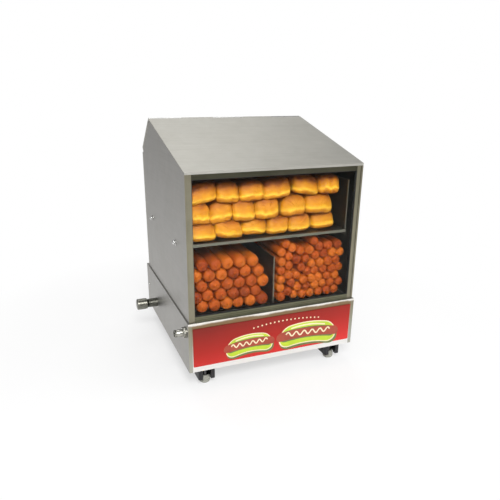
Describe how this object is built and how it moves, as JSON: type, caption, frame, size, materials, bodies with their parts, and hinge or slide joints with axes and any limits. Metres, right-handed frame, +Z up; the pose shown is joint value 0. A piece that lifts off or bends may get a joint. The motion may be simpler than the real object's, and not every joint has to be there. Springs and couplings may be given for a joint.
{
  "type": "hot dog steamer",
  "caption": "Countertop hot dog steamer: a glass-fronted steel cabinet with a bun shelf over two hot dog bays, on a heated water base with drains.",
  "frame": {"origin": "on the bench, under the middle of the whole outline, drain pipe and handles included", "axes": "+Z up, the glass front faces -Y, the drain pipes come out towards -X"},
  "size_m": [0.4346, 0.4174, 0.5226],
  "materials": {
    "brushed_steel": "brushed",
    "frame_steel": "brushed",
    "tray_steel": "satin",
    "pipe_steel": "polished",
    "screw_steel": "bright",
    "element_sheath": "dull",
    "bushing_brass": "satin",
    "bulb_copper": "satin",
    "sign_red": "gloss",
    "window_glass": "clear",
    "seal_rubber": "matte",
    "foot_black": "satin",
    "pad_grey": "matte",
    "handle_black": "satin",
    "fitting_black": "satin",
    "rocker_red": "gloss",
    "lamp_amber": "translucent",
    "phenolic": "matte",
    "wire_red": "satin"
  },
  "bodies": {
    "root": {"base_shell": "brushed_steel", "base_bottom": "brushed_steel", "deck_plate": "brushed_steel", "rear_panel": "brushed_steel", "sign_panel": "sign_red", "foot_block_fl": "foot_black", "foot_block_fr": "foot_black", "foot_block_rl": "foot_black", "foot_block_rr": "foot_black", "foot_pads": "pad_grey", "foot_legs": "screw_steel", "case_screws": "screw_steel", "water_pan": "tray_steel", "heating_element": "element_sheath", "element_bushings": "bushing_brass", "thermostat_bulb": "bulb_copper", "drain_pipe": "pipe_steel", "drain_lock_nut": "pipe_steel", "overflow_tube": "pipe_steel", "overflow_nut": "pipe_steel", "juice_tray": "tray_steel", "dog_tray": "tray_steel", "divider": "tray_steel", "left_side": "brushed_steel", "right_side": "brushed_steel", "roof_panel": "brushed_steel", "window_header": "frame_steel", "window_sill": "frame_steel", "window_post_left": "frame_steel", "window_post_right": "frame_steel", "front_glass": "window_glass", "glass_seal": "seal_rubber", "bun_tray": "tray_steel", "tray_rail_left": "tray_steel", "tray_rail_right": "tray_steel", "tray_studs": "screw_steel", "bun_door_frame": "brushed_steel", "bun_door_hinge": "screw_steel", "bun_door_pin": "screw_steel", "rear_door_frame": "brushed_steel", "rear_door_hinge": "screw_steel", "rear_door_pin": "screw_steel", "door_catches": "fitting_black", "thermostat_body": "phenolic", "switch_housing": "fitting_black", "pilot_lamp": "lamp_amber", "power_inlet": "fitting_black", "terminal_block": "phenolic", "wiring": "wire_red"},
    "bun_door": {"bun_door": "brushed_steel", "bun_door_handle": "handle_black"},
    "rear_door": {"rear_door": "brushed_steel", "rear_door_handle": "handle_black"},
    "thermostat_knob": {"thermostat_knob": "handle_black", "thermostat_shaft": "screw_steel"},
    "switch_rocker": {"switch_rocker": "rocker_red"},
    "drain_seal": {"drain_seal": "seal_rubber"},
    "drain_cap": {"drain_cap": "pipe_steel"}
  },
  "joints": [
    {"name": "bun_door_lift", "type": "hinge", "parent": "root", "child": "bun_door", "pos_m": [0.0227, 0.08578, 0.5186], "axis": [1, 0, 0], "range_deg": [0, 135]},
    {"name": "rear_door_swing", "type": "hinge", "parent": "root", "child": "rear_door", "pos_m": [0.2052, 0.17275, 0.301], "axis": [0, 0, -1], "range_deg": [0, 115]},
    {"name": "thermostat_turn", "type": "hinge", "parent": "root", "child": "thermostat_knob", "pos_m": [-0.0763, 0.18875, 0.09977], "axis": [0, -1, 0], "range_deg": [0, 270]},
    {"name": "switch_rock", "type": "hinge", "parent": "root", "child": "switch_rocker", "pos_m": [-0.0103, 0.18375, 0.09977], "axis": [1, 0, 0], "range_deg": [0, 20]},
    {"name": "drain_seal_travel", "type": "slide", "parent": "root", "child": "drain_seal", "axis": [-1, 0, 0], "range_m": [0, 0.012]},
    {"name": "drain_cap_turn", "type": "hinge", "parent": "drain_seal", "child": "drain_cap", "pos_m": [-0.2053, 0.08675, 0.081], "axis": [-1, 0, 0], "range_deg": [0, 2376]}
  ],
  "couplings": [
    {"joint": "drain_seal_travel", "follows": "drain_cap_turn", "m_per_rad": 0.00028871}
  ]
}
